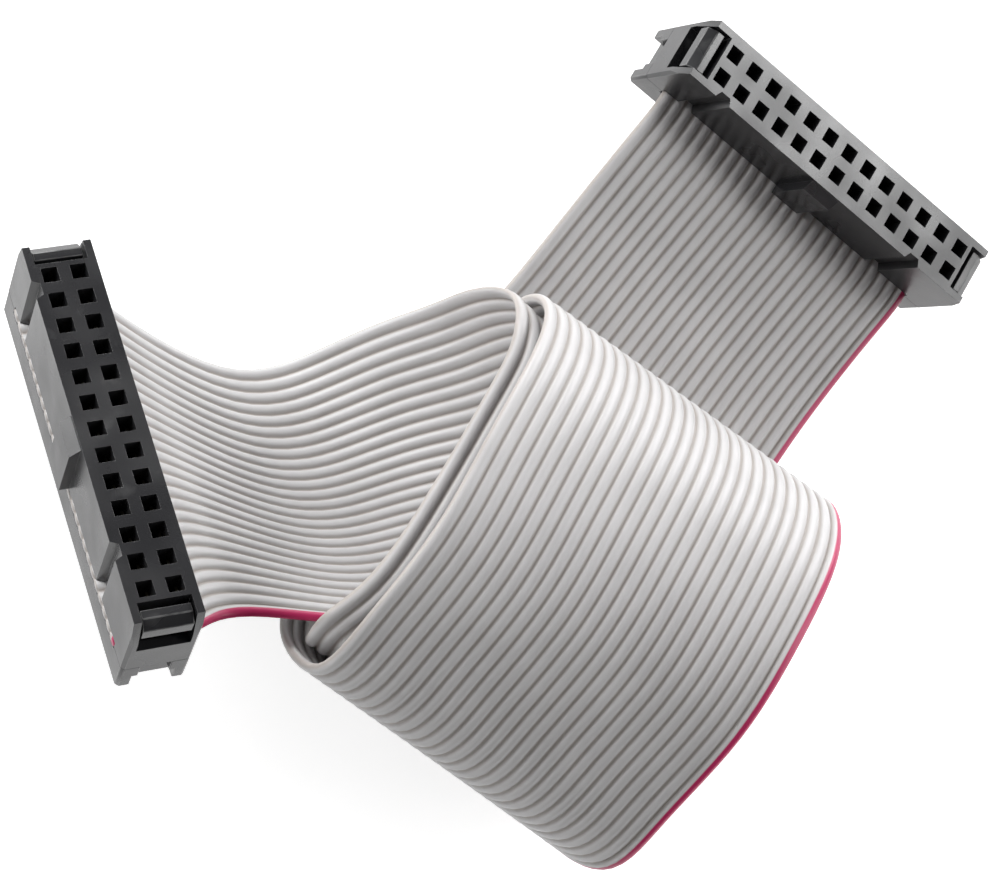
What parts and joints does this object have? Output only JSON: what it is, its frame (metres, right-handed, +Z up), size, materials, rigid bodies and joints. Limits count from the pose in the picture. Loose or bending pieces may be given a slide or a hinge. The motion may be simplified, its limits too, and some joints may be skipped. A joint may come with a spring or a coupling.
{
  "type": "ribbon cable",
  "caption": "Short flat ribbon cable with a clamp-on two-row pin socket at each end, rolled up loosely, with a coloured edge conductor marking pin one.",
  "frame": {"origin": "on the table that the cable lies on, under the middle of the whole object's box", "axes": "+Z up from the table; +X along the ribbon where it leaves the roll for the right socket; +Y towards the ribbon's unmarked edge in the roll"},
  "size_m": [0.085, 0.0786, 0.0314],
  "materials": {
    "ribbon_grey": "soft satin grey vinyl, ribbed along the conductors",
    "edge_red": "soft satin red vinyl, the edge conductor's marking",
    "black_plastic": "moulded black glass-filled plastic with a faint satin sheen",
    "contact_metal": "stamped and plated spring metal"
  },
  "bodies": {
    "root": {"ribbon_insulation": "ribbon_grey", "marked_conductor": "edge_red", "left_housing": "black_plastic", "left_cover": "black_plastic", "left_key_row_contacts": "contact_metal", "left_plain_row_contacts": "contact_metal", "right_housing": "black_plastic", "right_cover": "black_plastic", "right_key_row_contacts": "contact_metal", "right_plain_row_contacts": "contact_metal"}
  },
  "joints": []
}
